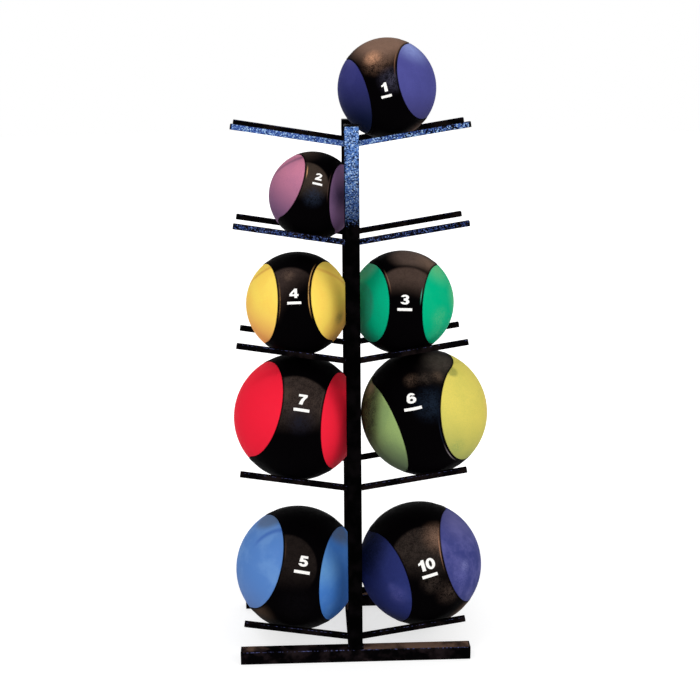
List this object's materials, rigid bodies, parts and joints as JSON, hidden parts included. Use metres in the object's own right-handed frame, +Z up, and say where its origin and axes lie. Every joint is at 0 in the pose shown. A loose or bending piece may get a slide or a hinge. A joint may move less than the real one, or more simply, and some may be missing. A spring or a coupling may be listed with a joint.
{
  "type": "medicine ball rack",
  "caption": "Free-standing rack: leaning steel posts carry tiers of sloping bar arms on both sides, and coloured rubber medicine balls lie in the cradles between front and rear arms.",
  "frame": {"origin": "on the floor under the middle of the bar that links the two base bars", "axes": "+Z up, +X to the right seen from the front, -Y towards the front"},
  "size_m": [0.5662, 0.2946, 1.3323],
  "materials": {
    "coat": "textured black powder coat with a blue-silver glitter",
    "arm_coat": "textured black powder coat with a blue-silver glitter",
    "black_plastic": "moulded, satin",
    "black_rubber": "moulded, satin",
    "rubber_5kg": "moulded, satin, sky blue",
    "rubber_10kg": "moulded, satin, indigo",
    "rubber_7kg": "moulded, satin, red",
    "rubber_6kg": "moulded, satin, yellow-green",
    "rubber_4kg": "moulded, satin, yellow",
    "rubber_3kg": "moulded, satin, green",
    "rubber_2kg": "moulded, satin, mauve",
    "rubber_1kg": "moulded, satin, blue-violet"
  },
  "bodies": {
    "frame": {"front_base_bar": "coat", "rear_base_bar": "coat", "base_link_bar": "coat", "front_post": "coat", "rear_post": "coat", "front_post_cap": "black_plastic", "rear_post_cap": "black_plastic", "front_left_foot_plug": "black_plastic", "front_right_foot_plug": "black_plastic", "rear_left_foot_plug": "black_plastic", "rear_right_foot_plug": "black_plastic", "tier1_front_left_arm": "arm_coat", "tier1_front_right_arm": "arm_coat", "tier1_rear_left_arm": "arm_coat", "tier1_rear_right_arm": "arm_coat", "tier2_front_left_arm": "arm_coat", "tier2_front_right_arm": "arm_coat", "tier2_rear_left_arm": "arm_coat", "tier2_rear_right_arm": "arm_coat", "tier3_front_left_arm": "arm_coat", "tier3_front_right_arm": "arm_coat", "tier3_rear_left_arm": "arm_coat", "tier3_rear_right_arm": "arm_coat", "tier4_front_left_arm": "arm_coat", "tier4_front_right_arm": "arm_coat", "tier4_rear_left_arm": "arm_coat", "tier4_rear_right_arm": "arm_coat", "tier5_front_left_arm": "arm_coat", "tier5_front_right_arm": "arm_coat", "tier5_rear_left_arm": "arm_coat", "tier5_rear_right_arm": "arm_coat"},
    "ball_5kg": {"ball_5kg_band": "black_rubber", "ball_5kg_left_panel": "rubber_5kg", "ball_5kg_right_panel": "rubber_5kg"},
    "ball_10kg": {"ball_10kg_band": "black_rubber", "ball_10kg_left_panel": "rubber_10kg", "ball_10kg_right_panel": "rubber_10kg"},
    "ball_7kg": {"ball_7kg_band": "black_rubber", "ball_7kg_left_panel": "rubber_7kg", "ball_7kg_right_panel": "rubber_7kg"},
    "ball_6kg": {"ball_6kg_band": "black_rubber", "ball_6kg_left_panel": "rubber_6kg", "ball_6kg_right_panel": "rubber_6kg"},
    "ball_4kg": {"ball_4kg_band": "black_rubber", "ball_4kg_left_panel": "rubber_4kg", "ball_4kg_right_panel": "rubber_4kg"},
    "ball_3kg": {"ball_3kg_band": "black_rubber", "ball_3kg_left_panel": "rubber_3kg", "ball_3kg_right_panel": "rubber_3kg"},
    "ball_2kg": {"ball_2kg_band": "black_rubber", "ball_2kg_left_panel": "rubber_2kg", "ball_2kg_right_panel": "rubber_2kg"},
    "ball_1kg": {"ball_1kg_band": "black_rubber", "ball_1kg_left_panel": "rubber_1kg", "ball_1kg_right_panel": "rubber_1kg"}
  },
  "joints": [
    {"name": "ball_5kg_slide", "type": "slide", "parent": "frame", "child": "ball_5kg", "axis": [-0.9877, 0, 0.1564], "range_m": [0, 0.272]},
    {"name": "ball_10kg_slide", "type": "slide", "parent": "frame", "child": "ball_10kg", "axis": [0.9877, 0, 0.1564], "range_m": [0, 0.244]},
    {"name": "ball_7kg_slide", "type": "slide", "parent": "frame", "child": "ball_7kg", "axis": [-0.9877, 0, 0.1564], "range_m": [0, 0.278]},
    {"name": "ball_6kg_slide", "type": "slide", "parent": "frame", "child": "ball_6kg", "axis": [0.9877, 0, 0.1564], "range_m": [0, 0.239]},
    {"name": "ball_4kg_slide", "type": "slide", "parent": "frame", "child": "ball_4kg", "axis": [-0.9877, 0, 0.1564], "range_m": [0, 0.256]},
    {"name": "ball_3kg_slide", "type": "slide", "parent": "frame", "child": "ball_3kg", "axis": [0.9877, 0, 0.1564], "range_m": [0, 0.261]},
    {"name": "ball_2kg_slide", "type": "slide", "parent": "frame", "child": "ball_2kg", "axis": [-0.9877, 0, 0.1564], "range_m": [0, 0.273]},
    {"name": "ball_1kg_slide", "type": "slide", "parent": "frame", "child": "ball_1kg", "axis": [0.9877, 0, 0.1564], "range_m": [0, 0.284]}
  ]
}
